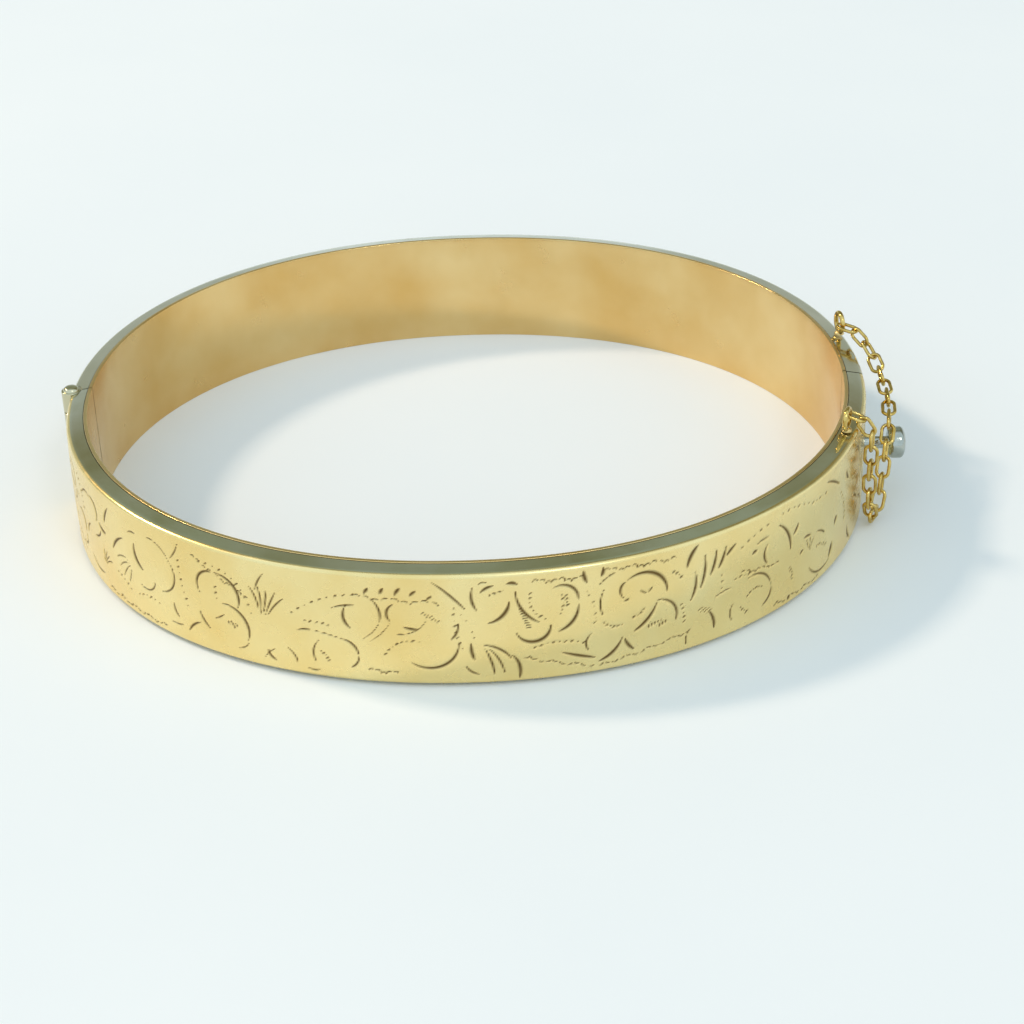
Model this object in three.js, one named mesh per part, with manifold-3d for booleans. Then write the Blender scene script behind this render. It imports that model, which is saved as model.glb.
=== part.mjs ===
// Hinged hollow bangle bracelet: an engraved front half and a plain back half, joined by a knuckle
// hinge at -X and a push-in tongue clasp at +X, with a safety chain across the clasp.
// Millimetres, +Z up. The bangle lies flat, so Z is the height of the band.

import * as THREE from 'three';
import { mergeVertices } from 'three/addons/utils/BufferGeometryUtils.js';
import Module from 'manifold-3d';

const wasm = await Module();
wasm.setup();

// ---- Driving dimensions ----

// The outer face seen from above is a slightly squared oval.
const OVAL_HALF_WIDTH = 32;
const OVAL_HALF_DEPTH = 29.6;
const OVAL_POWER = 2.09;

// The band's section: an outer channel whose rims slope down outwards from a taller inner liner.
const BAND_HEIGHT = 9.7;
const BAND_THICKNESS = 1.75;
const RIM_DROP = 0.3;
const SHELL_WALL = 0.35;
const LINER_WALL = 0.3;
const CORNER_ROUND = 0.4;
const FACE_DOME = 0.06;
const END_PLATE = 0.4;
const BAND_STEPS = 44;

// Clearances: solder seams between fixed pieces, and running gaps between moving ones.
const SEAM = 0.05;
const JOINT_GAP = 0.12;
const RUNNING_GAP = 0.08;

// Hinge: knuckles on a pin, with their axis on the outer face.
const BARREL_RADIUS = 0.8;
const PIN_RADIUS = 0.36;
const KNUCKLE_COUNT = 5;
const BARREL_END_GAP = 0.15;

// Clasp: a folded spring tongue, bent about the hinge axis so that it leaves the box freely.
const TONGUE_REACH = 6.3;
const TONGUE_WIDTH = 5;
const LEAF_THICKNESS = 0.2;
const LEAF_RISE = 0.31;
const LEAF_CLEARANCE = 0.02;
const TONGUE_ROOT = 1.2;
const MOUTH_PLATE = 0.5;
const MOUTH_WEB = 0.14;
const LIP_CATCH = 0.26;
const THUMB_PLACE = 3.2;
const THUMB_STEM_RADIUS = 0.5;
const THUMB_HEAD_RADIUS = 1.3;
const THUMB_HEAD_DEPTH = 1.4;
const THUMB_STANDOFF = 1.7;

// Safety chain: oval links between two rings that stand on the rims.
const LINK_COUNT = 23;
const LINK_WIRE_RADIUS = 0.14;
const LINK_BEND_RADIUS = 0.5;
const LINK_PLAY = 0.1;
const RING_RADIUS = 0.8;
const RING_WIRE_RADIUS = 0.2;
const RING_RISE = 0.95;
const BACK_RING_PLACE = 7;
const BACK_RING_INSET = 0.5;
const FRONT_RING_PLACE = -10.2;
const FRONT_RING_INSET = 0.85;
const CHAIN_FLOOR_GAP = 0.75;

// ---- Derived places ----

const hingeX = -OVAL_HALF_WIDTH;
const midHeight = BAND_HEIGHT / 2;
const linerFace = BAND_THICKNESS - LINER_WALL;
const thumbReach = OVAL_HALF_WIDTH + THUMB_STANDOFF + THUMB_HEAD_DEPTH;

// ---- Materials ----

const finishes = {
  engraved: { color: 0xe3cf96, roughness: 0.32, metalness: 1 },
  polished: { color: 0xd9c58e, roughness: 0.2, metalness: 1 },
  liner: { color: 0xdba75a, roughness: 0.38, metalness: 1 },
  solder: { color: 0xcdb98a, roughness: 0.35, metalness: 1 },
  spring: { color: 0xc9b88c, roughness: 0.3, metalness: 1 },
  thumb: { color: 0xb9bcb4, roughness: 0.22, metalness: 1 },
  chain: { color: 0xd6b04f, roughness: 0.3, metalness: 1 },
};

// ---- Shape helpers ----

// The point of the outer oval at an angle, moved inwards along its normal by an inset.
function ovalPoint(angle, inset) {
  const c = Math.cos(angle);
  const s = Math.sin(angle);
  const x = OVAL_HALF_WIDTH * Math.sign(c) * Math.abs(c) ** (2 / OVAL_POWER);
  const y = OVAL_HALF_DEPTH * Math.sign(s) * Math.abs(s) ** (2 / OVAL_POWER);
  const out = ovalNormal(x, y);
  return new THREE.Vector2(x - out.x * inset, y - out.y * inset);
}

// The outward normal of the oval at one of its points.
function ovalNormal(x, y) {
  const slope = OVAL_POWER - 1;
  const nx = Math.sign(x) * Math.abs(x / OVAL_HALF_WIDTH) ** slope / OVAL_HALF_WIDTH;
  const ny = Math.sign(y) * Math.abs(y / OVAL_HALF_DEPTH) ** slope / OVAL_HALF_DEPTH;
  return new THREE.Vector2(nx, ny).normalize();
}

// The angle at which the oval stands a distance y from the hinge-to-clasp line.
function angleAt(y) {
  return Math.sign(y) * Math.asin(Math.abs(y / OVAL_HALF_DEPTH) ** (OVAL_POWER / 2));
}

// A place near the clasp: y along the band, a distance out from its outer face, and a height.
function besideClasp(y, out, height) {
  const point = ovalPoint(angleAt(y), -out);
  return new THREE.Vector3(point.x, point.y, height);
}

// A section of (inset, height) carried round the oval from one angle to another.
function bandPiece(shape, from, to, steps) {
  const geometry = new THREE.ExtrudeGeometry(shape, { depth: 1, steps, bevelEnabled: false, curveSegments: 3 });
  const position = geometry.getAttribute('position');
  for (let i = 0; i < position.count; i += 1) {
    const place = ovalPoint(from + (to - from) * position.getZ(i), position.getX(i));
    position.setXYZ(i, place.x, place.y, position.getY(i));
  }
  return geometry;
}

function rectangle(left, right, bottom, top) {
  return new THREE.Shape([
    new THREE.Vector2(left, bottom),
    new THREE.Vector2(right, bottom),
    new THREE.Vector2(right, top),
    new THREE.Vector2(left, top),
  ]);
}

function box(xs, ys, zs) {
  const geometry = new THREE.BoxGeometry(xs[1] - xs[0], ys[1] - ys[0], zs[1] - zs[0]);
  return geometry.translate((xs[0] + xs[1]) / 2, (ys[0] + ys[1]) / 2, (zs[0] + zs[1]) / 2);
}

function toSolid(geometry) {
  const bare = geometry.clone();
  bare.deleteAttribute('normal');
  bare.deleteAttribute('uv');
  const merged = mergeVertices(bare, 1e-5);
  return new wasm.Manifold(new wasm.Mesh({
    numProp: 3,
    vertProperties: new Float32Array(merged.getAttribute('position').array),
    triVerts: new Uint32Array(merged.getIndex().array),
  }));
}

function fromSolid(solid) {
  const mesh = solid.getMesh();
  const geometry = new THREE.BufferGeometry();
  geometry.setAttribute('position', new THREE.BufferAttribute(new Float32Array(mesh.vertProperties), 3));
  geometry.setIndex(new THREE.BufferAttribute(new Uint32Array(mesh.triVerts), 1));
  geometry.computeVertexNormals();
  return geometry;
}

function cut(geometry, ...tools) {
  return fromSolid(tools.reduce((solid, tool) => solid.subtract(toSolid(tool)), toSolid(geometry)));
}

function join(first, second) {
  return fromSolid(toSolid(first).add(toSolid(second)));
}

const bangle = new THREE.Group();

function addPiece(name, geometry, finish) {
  const piece = new THREE.Mesh(geometry, new THREE.MeshStandardMaterial(finishes[finish]));
  piece.name = name;
  bangle.add(piece);
  return piece;
}

// ---- Band: two half shells, their liners and their end plates ----

// The outer channel: both rims and the slightly domed outer face, one wall thick.
function channelSection() {
  const edge = linerFace - SEAM;
  const drop = (inset) => RIM_DROP * (1 - inset / BAND_THICKNESS);
  const shoulder = RIM_DROP + CORNER_ROUND;
  const shape = new THREE.Shape();
  shape.moveTo(edge, BAND_HEIGHT - drop(edge));
  shape.lineTo(CORNER_ROUND, BAND_HEIGHT - drop(CORNER_ROUND));
  shape.quadraticCurveTo(0, BAND_HEIGHT - RIM_DROP, FACE_DOME, BAND_HEIGHT - shoulder);
  shape.quadraticCurveTo(-FACE_DOME, midHeight, FACE_DOME, shoulder);
  shape.quadraticCurveTo(0, RIM_DROP, CORNER_ROUND, drop(CORNER_ROUND));
  shape.lineTo(edge, drop(edge));
  shape.lineTo(edge, drop(edge) + SHELL_WALL);
  shape.lineTo(FACE_DOME + SHELL_WALL, shoulder);
  shape.lineTo(FACE_DOME + SHELL_WALL, BAND_HEIGHT - shoulder);
  shape.lineTo(edge, BAND_HEIGHT - drop(edge) - SHELL_WALL);
  return shape;
}

// A plate that closes the hollow between channel and liner.
function plateSection() {
  const outer = FACE_DOME + SHELL_WALL + SEAM;
  const inner = linerFace - SEAM;
  const low = RIM_DROP + CORNER_ROUND + SEAM;
  return rectangle(outer, inner, low, BAND_HEIGHT - low);
}

// The knuckles turn in a round pocket cut through everything that meets them.
function barrelPocket() {
  const pocket = new THREE.CylinderGeometry(
    BARREL_RADIUS + RUNNING_GAP, BARREL_RADIUS + RUNNING_GAP, BAND_HEIGHT * 2, 24);
  return pocket.rotateX(Math.PI / 2).translate(hingeX, 0, 0);
}

// The thumb-piece's stem slides out through a notch that is open at the clasp end.
function thumbNotch() {
  const half = THUMB_STEM_RADIUS + 2 * RUNNING_GAP;
  const depth = THUMB_PLACE + THUMB_STEM_RADIUS + 2 * RUNNING_GAP;
  const floor = OVAL_HALF_WIDTH - linerFace + LEAF_THICKNESS * 2;
  return box([floor, OVAL_HALF_WIDTH + 1], [-depth, 1], [midHeight - half, midHeight + half]);
}

// Radii about the hinge axis, so that the tongue follows the arc on which the halves part.
const hingeToClasp = OVAL_HALF_WIDTH - hingeX;
const slotInner = hingeToClasp - linerFace + SEAM + MOUTH_WEB;
const baseInner = slotInner + SEAM;
const baseOuter = baseInner + LEAF_THICKNESS;
const leafTip = baseOuter + SEAM;
const leafEnd = leafTip + LEAF_RISE;
const slotOuter = leafEnd + LEAF_THICKNESS - LIP_CATCH;
const leafStop = JOINT_GAP / 2 + MOUTH_PLATE + RUNNING_GAP;

// A strip between two places along the tongue, whose inner radius rises from the fold outwards.
function leafStrip(fromY, toY, innerAt, width) {
  const shape = rectangle(0, LEAF_THICKNESS, midHeight - width / 2, midHeight + width / 2);
  const geometry = new THREE.ExtrudeGeometry(shape, { depth: 1, steps: 8, bevelEnabled: false });
  const position = geometry.getAttribute('position');
  for (let i = 0; i < position.count; i += 1) {
    const along = position.getZ(i);
    const y = fromY + (toY - fromY) * along;
    const radius = innerAt(along) + LEAF_THICKNESS - position.getX(i);
    position.setXYZ(i, hingeX + Math.sqrt(radius ** 2 - y ** 2), y, position.getY(i));
  }
  return geometry;
}

// The front shell is thinned where its wall would stand in the way of the spring leaf.
function leafRelief() {
  const innerAt = (along) => leafTip + LEAF_RISE * along + LEAF_CLEARANCE;
  return leafStrip(-TONGUE_REACH - LEAF_CLEARANCE, -leafStop, innerAt, TONGUE_WIDTH + 2 * RUNNING_GAP);
}

const backStart = angleAt(JOINT_GAP / 2);
const plateTurn = angleAt(JOINT_GAP / 2 + END_PLATE) - backStart;
const linerSection = rectangle(linerFace, BAND_THICKNESS, 0, BAND_HEIGHT);

function addHalf(side, start, notch) {
  const end = start + Math.PI - 2 * backStart;
  const shell = bandPiece(channelSection(), start, end, BAND_STEPS);
  addPiece(`${side}_outer_shell`, cut(shell, barrelPocket(), ...notch), side === 'front' ? 'engraved' : 'polished');
  addPiece(`${side}_inner_liner`, cut(bandPiece(linerSection, start, end, BAND_STEPS), barrelPocket()), 'liner');
}

addHalf('back', backStart, []);
addHalf('front', Math.PI + backStart, [thumbNotch(), leafRelief()]);

for (const side of ['back', 'front']) {
  const from = side === 'back' ? Math.PI - backStart - plateTurn : Math.PI + backStart;
  const plate = bandPiece(plateSection(), from, from + plateTurn, 1);
  addPiece(`${side}_hinge_end_plate`, cut(plate, barrelPocket()), 'solder');
}

// ---- Clasp: box mouth on the front half, folded tongue on the back half ----

function tongueSlot(fromY, toY, outerRadius) {
  const half = TONGUE_WIDTH / 2 + RUNNING_GAP;
  return box([hingeX + slotInner, hingeX + outerRadius], [fromY, toY], [midHeight - half, midHeight + half]);
}

const mouthTurn = angleAt(JOINT_GAP / 2 + MOUTH_PLATE) - backStart;
const mouth = bandPiece(plateSection(), -backStart - mouthTurn, -backStart, 1);
addPiece('front_clasp_mouth', cut(mouth, tongueSlot(-2, 1, slotOuter), thumbNotch()), 'solder');

const claspEnd = bandPiece(plateSection(), backStart, backStart + plateTurn, 1);
addPiece('back_clasp_end_plate', cut(claspEnd, tongueSlot(-1, 2, baseOuter + SEAM)), 'solder');

addPiece('tongue_base_leaf', leafStrip(-TONGUE_REACH, TONGUE_ROOT, () => baseInner, TONGUE_WIDTH), 'spring');
addPiece('tongue_spring_leaf',
  leafStrip(-TONGUE_REACH, -leafStop, (along) => leafTip + LEAF_RISE * along, TONGUE_WIDTH), 'spring');

// A round stem with a domed head, turned about the outward direction.
function thumbPiece() {
  const share = (TONGUE_REACH - THUMB_PLACE) / (TONGUE_REACH - leafStop);
  const foot = leafTip + LEAF_RISE * share + LEAF_THICKNESS + SEAM;
  const neck = OVAL_HALF_WIDTH + THUMB_STANDOFF - hingeX;
  const round = THUMB_HEAD_DEPTH * 0.35;
  const profile = [
    [0, foot],
    [THUMB_STEM_RADIUS, foot],
    [THUMB_STEM_RADIUS, neck],
    [THUMB_HEAD_RADIUS - round, neck],
    [THUMB_HEAD_RADIUS, neck + round],
    [THUMB_HEAD_RADIUS, neck + THUMB_HEAD_DEPTH - round],
    [THUMB_HEAD_RADIUS - round, neck + THUMB_HEAD_DEPTH - round * 0.3],
    [0, neck + THUMB_HEAD_DEPTH],
  ].map(([radius, height]) => new THREE.Vector2(radius, height));
  return new THREE.LatheGeometry(profile, 16).rotateZ(-Math.PI / 2);
}

addPiece('thumb_piece', thumbPiece(), 'thumb').position.set(hingeX, -THUMB_PLACE, midHeight);

// ---- Hinge: knuckles in turn on the back and front halves, and the pin through them ----

const barrelHeight = BAND_HEIGHT - 2 * BARREL_END_GAP;
const knuckleHeight = (barrelHeight - (KNUCKLE_COUNT - 1) * RUNNING_GAP) / KNUCKLE_COUNT;

function knuckleTube() {
  const bore = PIN_RADIUS + SEAM;
  const chamfer = 0.08;
  const profile = [
    [bore, 0],
    [BARREL_RADIUS - chamfer, 0],
    [BARREL_RADIUS, chamfer],
    [BARREL_RADIUS, knuckleHeight - chamfer],
    [BARREL_RADIUS - chamfer, knuckleHeight],
    [bore, knuckleHeight],
    [bore, 0],
  ].map(([radius, height]) => new THREE.Vector2(radius, height));
  return new THREE.LatheGeometry(profile, 18).rotateX(Math.PI / 2);
}

for (let i = 0; i < KNUCKLE_COUNT; i += 1) {
  const side = i % 2 === 0 ? 'back' : 'front';
  const knuckle = addPiece(`${side}_hinge_knuckle_${i + 1}`, knuckleTube(), 'polished');
  knuckle.position.set(hingeX, 0, BARREL_END_GAP + i * (knuckleHeight + RUNNING_GAP));
}

function hingePin() {
  const head = 0.12;
  const profile = [
    [0, 0],
    [PIN_RADIUS - head, 0],
    [PIN_RADIUS, head],
    [PIN_RADIUS, barrelHeight - head],
    [PIN_RADIUS - head, barrelHeight],
    [0, barrelHeight],
  ].map(([radius, height]) => new THREE.Vector2(radius, height));
  return new THREE.LatheGeometry(profile, 12).rotateX(Math.PI / 2);
}

addPiece('hinge_pin', hingePin(), 'solder').position.set(hingeX, 0, BARREL_END_GAP);

// ---- Safety chain ----

// A soldered ring standing on the rim, in the plane of the band's direction and the upright.
function chainRing() {
  const ring = new THREE.TorusGeometry(RING_RADIUS, RING_WIRE_RADIUS, 8, 16).rotateX(Math.PI / 2);
  const footBottom = -RING_RISE - SEAM;
  const footTop = 2 * RING_WIRE_RADIUS * 0.6 - RING_RADIUS - RING_WIRE_RADIUS;
  const footRadius = 2 * RING_WIRE_RADIUS;
  const foot = new THREE.CylinderGeometry(footRadius * 0.7, footRadius, footTop - footBottom, 12)
    .rotateX(Math.PI / 2).translate(0, 0, (footTop + footBottom) / 2);
  return join(ring, foot);
}

const ringHeight = BAND_HEIGHT + RING_RISE;

function addRing(name, y, inset) {
  const ring = addPiece(name, chainRing(), 'chain');
  ring.position.copy(besideClasp(y, -inset, ringHeight));
  const out = ovalNormal(ring.position.x + inset, y);
  ring.rotation.z = Math.atan2(-out.x, out.y);
}

addRing('back_chain_ring', BACK_RING_PLACE, BACK_RING_INSET);
addRing('front_chain_ring', FRONT_RING_PLACE, FRONT_RING_INSET);

// The hanging route: places along the band, distances out from its face, and heights.
const route = new THREE.CatmullRomCurve3([
  besideClasp(BACK_RING_PLACE - RING_RADIUS, -BACK_RING_INSET, ringHeight),
  besideClasp(5.4, 0.4, BAND_HEIGHT + 0.75),
  besideClasp(4.2, 1.1, BAND_HEIGHT - 0.15),
  besideClasp(2.6, 1.55, BAND_HEIGHT - 1.1),
  besideClasp(0.7, 1.8, BAND_HEIGHT - 1.8),
  besideClasp(-1.4, 1.9, BAND_HEIGHT - 2.2),
  besideClasp(-3.4, 1.85, BAND_HEIGHT - 2.7),
  besideClasp(-5, 1.7, BAND_HEIGHT - 3.9),
  besideClasp(-5.9, 1.55, BAND_HEIGHT - 5.6),
  besideClasp(-6.3, 1.45, CHAIN_FLOOR_GAP + 1.6),
  besideClasp(-6.8, 1.3, CHAIN_FLOOR_GAP + 0.3),
  besideClasp(-7.5, 1.1, CHAIN_FLOOR_GAP),
  besideClasp(-8.2, 0.95, CHAIN_FLOOR_GAP + 0.4),
  besideClasp(-8.6, 0.88, CHAIN_FLOOR_GAP + 2),
  besideClasp(-8.8, 0.86, BAND_HEIGHT / 2),
  besideClasp(-9, 0.9, BAND_HEIGHT - 2.2),
  besideClasp(-9.1, 0.92, BAND_HEIGHT - 0.8),
  besideClasp(-9.2, 0.45, BAND_HEIGHT + 0.25),
  besideClasp(-9.3, -0.15, BAND_HEIGHT + 0.72),
  besideClasp(FRONT_RING_PLACE + RING_RADIUS, -FRONT_RING_INSET, ringHeight),
]);

const routeSamples = 2000;
const routePoints = route.getPoints(routeSamples);

// The first route point after a start that lies a distance from a place, or the last one.
function stepAlong(place, start, distance) {
  let i = start;
  while (i < routeSamples && routePoints[i].distanceTo(place) < distance) i += 1;
  return i;
}

// Odd links hold the wires of their neighbours; even links turn on their own end wires.
const wireOffset = 2 * LINK_WIRE_RADIUS + LINK_PLAY;
const ringOffset = LINK_WIRE_RADIUS + RING_WIRE_RADIUS + LINK_PLAY;

function startOffset(number) {
  return number === 1 ? ringOffset : wireOffset * (number % 2);
}

function endOffset(number) {
  return number === LINK_COUNT ? ringOffset : wireOffset * (number % 2);
}

// The pivots of a chain whose links measure `length` between their end wires.
function chainPivots(length) {
  const pivots = [routePoints[0]];
  let at = 0;
  for (let number = 1; number <= LINK_COUNT; number += 1) {
    const span = length - startOffset(number) - endOffset(number);
    at = stepAlong(pivots[number - 1], at, span);
    pivots.push(routePoints[at]);
  }
  return { pivots, spare: routeSamples - at };
}

// The link length that makes the chain just reach the front ring, by halving an interval.
function fitLinkLength() {
  let short = 2 * LINK_BEND_RADIUS;
  let long = 4 * short;
  for (let i = 0; i < 30; i += 1) {
    const middle = (short + long) / 2;
    if (chainPivots(middle).spare > 0) short = middle;
    else long = middle;
  }
  return short;
}

const linkLength = fitLinkLength();
const pivots = chainPivots(linkLength).pivots;

// An oval of round wire with its length along X: a ring whose two halves are drawn apart.
function linkWire() {
  const arcs = 12;
  const halfStraight = linkLength / 2 - LINK_BEND_RADIUS;
  const geometry = new THREE.TorusGeometry(LINK_BEND_RADIUS, LINK_WIRE_RADIUS, 8, arcs).rotateZ(Math.PI / arcs);
  const position = geometry.getAttribute('position');
  for (let i = 0; i < position.count; i += 1) {
    position.setX(i, position.getX(i) + Math.sign(position.getX(i)) * halfStraight);
  }
  return geometry;
}

// The direction about which a link swings: upright beside the rings, outwards where the chain hangs.
function swingAxis(number, along) {
  const fromEnd = Math.min(number - 1, LINK_COUNT - number);
  const hanging = THREE.MathUtils.smoothstep(fromEnd, 0, 4);
  const outwards = new THREE.Vector3(0.92, -0.38, 0).multiplyScalar(hanging);
  const axis = new THREE.Vector3(0, 0, 1 - hanging).add(outwards);
  return axis.addScaledVector(along, -axis.dot(along)).normalize();
}

for (let number = 1; number <= LINK_COUNT; number += 1) {
  const start = pivots[number - 1];
  const along = pivots[number].clone().sub(start).normalize();
  const axis = swingAxis(number, along);
  const across = new THREE.Vector3().crossVectors(axis, along);
  const flat = number % 2 === 1;
  const basis = flat
    ? new THREE.Matrix4().makeBasis(along, across, axis)
    : new THREE.Matrix4().makeBasis(along, axis, across.negate());
  const link = addPiece(`chain_link_${String(number).padStart(2, '0')}`, linkWire(), 'chain');
  link.quaternion.setFromRotationMatrix(basis);
  link.position.copy(start).addScaledVector(along, linkLength / 2 - startOffset(number));
}

// The origin stands under the middle of the whole piece, between the barrel and the thumb-piece.
bangle.position.x = (OVAL_HALF_WIDTH + BARREL_RADIUS - thumbReach) / 2;

export default new THREE.Group().add(bangle);
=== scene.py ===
# %% [markdown]
# # A hinged gold bangle
# A bangle is a thin-walled hollow band bent into an oval. This one opens on a hinge at the left and
# shuts with a push-in tongue at the right, where a safety chain crosses the joint. The front half is
# engraved and the back half is plain. The fixed frame gives every part its place. Each cell below
# makes the finer surface of one part, or one finish.

import math

import bpy
import numpy as np
from mathutils import Matrix, Vector


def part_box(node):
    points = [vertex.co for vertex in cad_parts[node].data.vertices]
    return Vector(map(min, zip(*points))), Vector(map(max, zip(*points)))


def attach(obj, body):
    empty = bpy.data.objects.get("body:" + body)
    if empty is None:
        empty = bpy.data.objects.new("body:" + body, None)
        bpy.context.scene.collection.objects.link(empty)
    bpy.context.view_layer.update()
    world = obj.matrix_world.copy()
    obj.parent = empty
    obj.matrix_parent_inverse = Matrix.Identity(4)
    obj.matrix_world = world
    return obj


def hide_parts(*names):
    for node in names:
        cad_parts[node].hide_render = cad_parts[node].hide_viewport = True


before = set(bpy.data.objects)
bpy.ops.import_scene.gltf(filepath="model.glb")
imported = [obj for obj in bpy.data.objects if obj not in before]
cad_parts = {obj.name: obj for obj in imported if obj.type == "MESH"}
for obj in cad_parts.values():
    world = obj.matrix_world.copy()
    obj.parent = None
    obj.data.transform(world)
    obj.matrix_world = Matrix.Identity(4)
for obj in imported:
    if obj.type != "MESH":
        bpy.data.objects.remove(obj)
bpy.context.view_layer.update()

# %% [markdown]
# ## The oval
# Seen from above the outer face is a superellipse, an oval whose shoulders are a little squarer than
# an ellipse's. Everything on the band is placed by an angle round that oval and an inset, which is a
# distance inwards along its normal. The angle runs unevenly along the metal, so lengths along the
# band are measured by adding up short chords.

# %% The oval and distances along it
MM = 0.001
HALF_WIDTH = 32 * MM
HALF_DEPTH = 29.6 * MM
POWER = 2.09
JOINT_GAP = 0.12 * MM
SHORT_CHORDS = 6000
oval_middle_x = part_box("back_outer_shell")[1].x - HALF_WIDTH


def oval(angle, inset):
    """Points |x/a|^p + |y/b|^p = 1 at an angle, moved inwards along the curve's own normal."""
    cosine, sine = np.cos(angle), np.sin(angle)
    x = HALF_WIDTH * np.sign(cosine) * np.abs(cosine) ** (2 / POWER)
    y = HALF_DEPTH * np.sign(sine) * np.abs(sine) ** (2 / POWER)
    nx = np.sign(x) * np.abs(x / HALF_WIDTH) ** (POWER - 1) / HALF_WIDTH
    ny = np.sign(y) * np.abs(y / HALF_DEPTH) ** (POWER - 1) / HALF_DEPTH
    length = np.hypot(nx, ny)
    return x - nx / length * inset + oval_middle_x, y - ny / length * inset


def angle_at(y):
    """The angle whose oval point stands y from the line between hinge and clasp: y = b sin^(2/p)."""
    return math.copysign(math.asin(abs(y / HALF_DEPTH) ** (POWER / 2)), y)


def even_angles(start, end, count):
    """Angles whose points lie evenly along the metal: lengths of short chords, added and inverted."""
    fine = np.linspace(start, end, SHORT_CHORDS + 1)
    x, y = oval(fine, 0)
    length = np.concatenate([[0], np.cumsum(np.hypot(np.diff(x), np.diff(y)))])
    return np.interp(np.linspace(0, length[-1], count), length, fine), length[-1]


half_length = even_angles(math.pi, 2 * math.pi, 3)[1]
print("one half measures", round(half_length / MM, 1), "mm along its outer face")

# %% [markdown]
# ## Grids become meshes
# A surface worked out on a grid of two parameters is closed by joining its last row to its first. A
# tube that does not meet itself gets a flat cap at each end. The faces are listed so that they turn
# outwards, and a shaded edge stays sharp where the surface folds by more than a few tens of degrees.

# %% Turn grids into pieces
pieces = []


def grid_faces(rows, columns, close_rows):
    """Four corners for every cell of a rows x columns grid whose columns always close on themselves."""
    row = np.arange(rows if close_rows else rows - 1)[:, None]
    column = np.arange(columns)[None, :]
    beside = (row + 1) % rows
    after = (column + 1) % columns
    return np.stack([
        row * columns + column, beside * columns + column, beside * columns + after, row * columns + after,
    ], axis=-1).reshape(-1, 4)


def make_piece(name, points, faces, body, material, fold=35):
    """A mesh from arrays, its normals turned outwards, riding on a body and wearing a material."""
    mesh = bpy.data.meshes.new(name)
    mesh.from_pydata(points.reshape(-1, 3).tolist(), [], faces)
    if signed_volume(mesh) < 0:
        mesh.flip_normals()
    mesh.shade_smooth()
    mesh.set_sharp_from_angle(angle=math.radians(fold))
    mesh.materials.append(material)
    piece = bpy.data.objects.new(name, mesh)
    bpy.context.scene.collection.objects.link(piece)
    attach(piece, body)
    pieces.append(piece)
    return piece


def signed_volume(mesh):
    """Six times the volume as the sum of a . (b x c) over the triangles: positive when faced outwards."""
    mesh.calc_loop_triangles()
    corners = np.zeros(len(mesh.loop_triangles) * 3, int)
    mesh.loop_triangles.foreach_get("vertices", corners)
    points = np.zeros(len(mesh.vertices) * 3)
    mesh.vertices.foreach_get("co", points)
    a, b, c = points.reshape(-1, 3)[corners].reshape(-1, 3, 3).transpose(1, 0, 2)
    return float(np.sum(a * np.cross(b, c)))


def capped_tube(rows, columns):
    """The cells of an open tube, and one flat face over each of its two ends."""
    cells = grid_faces(rows, columns, False).tolist()
    last = (rows - 1) * columns
    return cells + [list(range(columns)), list(range(last + columns - 1, last - 1, -1))]


# %% [markdown]
# ## Colours and nodes
# Colours are written as the hex values that a colour picker shows, and turned to linear light once.
# Every finish below is a small tree of nodes, so one function adds a node with its settings and
# joins its inputs.

# %% Colour and node helpers
def linear(hex_value):
    """sRGB to linear light: v/12.92 below 0.04045, and ((v + 0.055)/1.055)^2.4 above it."""
    channels = [(hex_value >> shift & 255) / 255 for shift in (16, 8, 0)]
    return [v / 12.92 if v <= 0.04045 else ((v + 0.055) / 1.055) ** 2.4 for v in channels] + [1.0]


def add(tree, kind, inputs=None, **settings):
    """One node: settings are its properties, inputs are values or the sockets that feed it."""
    node = tree.nodes.new(kind)
    for name, value in settings.items():
        setattr(node, name, value)
    for name, value in (inputs or {}).items():
        if isinstance(value, bpy.types.NodeSocket):
            tree.links.new(value, node.inputs[name])
        else:
            node.inputs[name].default_value = value
    return node


def new_material(name):
    """An empty material with a metal Principled shader, its tree and its Object coordinates."""
    material = bpy.data.materials.new(name)
    material.use_nodes = True
    tree = material.node_tree
    shader = tree.nodes["Principled BSDF"]
    shader.inputs["Metallic"].default_value = 1.0
    return material, tree, shader, add(tree, "ShaderNodeTexCoord").outputs["Object"]

# %% [markdown]
# ## Gold, engraved
# The band is rolled gold: a skin of gold alloy on base metal. The engraver's cuts go through the
# bright polish, and dirt and lacquer settle in them, so they read as dark brown lines. The mesh
# carries two attributes for that: `cut` is how deep the graver went, and `face` is 1 on the engraved
# face and 0 on the mirror-bright rims. The face itself is a little less sharp than the rims, with
# fine wear scratches that run with the band.

# %% Finish: engraved rolled gold
def scratches(tree, coordinates, across, strength):
    """A height made of stretched noise: long and thin marks a given width apart, as a bump normal."""
    stretched = add(tree, "ShaderNodeMapping", {"Vector": coordinates, "Scale": (0.12, 0.12, 1.0)})
    marks = add(tree, "ShaderNodeTexNoise", {
        "Vector": stretched.outputs["Vector"], "Scale": 1 / across, "Detail": 3.0, "Roughness": 0.6})
    return add(tree, "ShaderNodeBump", {
        "Height": marks.outputs["Fac"], "Strength": strength, "Distance": 0.02 * MM}).outputs["Normal"]


def blotches(tree, coordinates, size, low, high):
    """Soft patches a given size across, as a number between low and high."""
    noise = add(tree, "ShaderNodeTexNoise", {"Vector": coordinates, "Scale": 1 / size, "Detail": 4.0})
    return add(tree, "ShaderNodeMapRange", {
        "Value": noise.outputs["Fac"], "From Min": 0.3, "From Max": 0.7, "To Min": low, "To Max": high,
    }).outputs["Result"]


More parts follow.
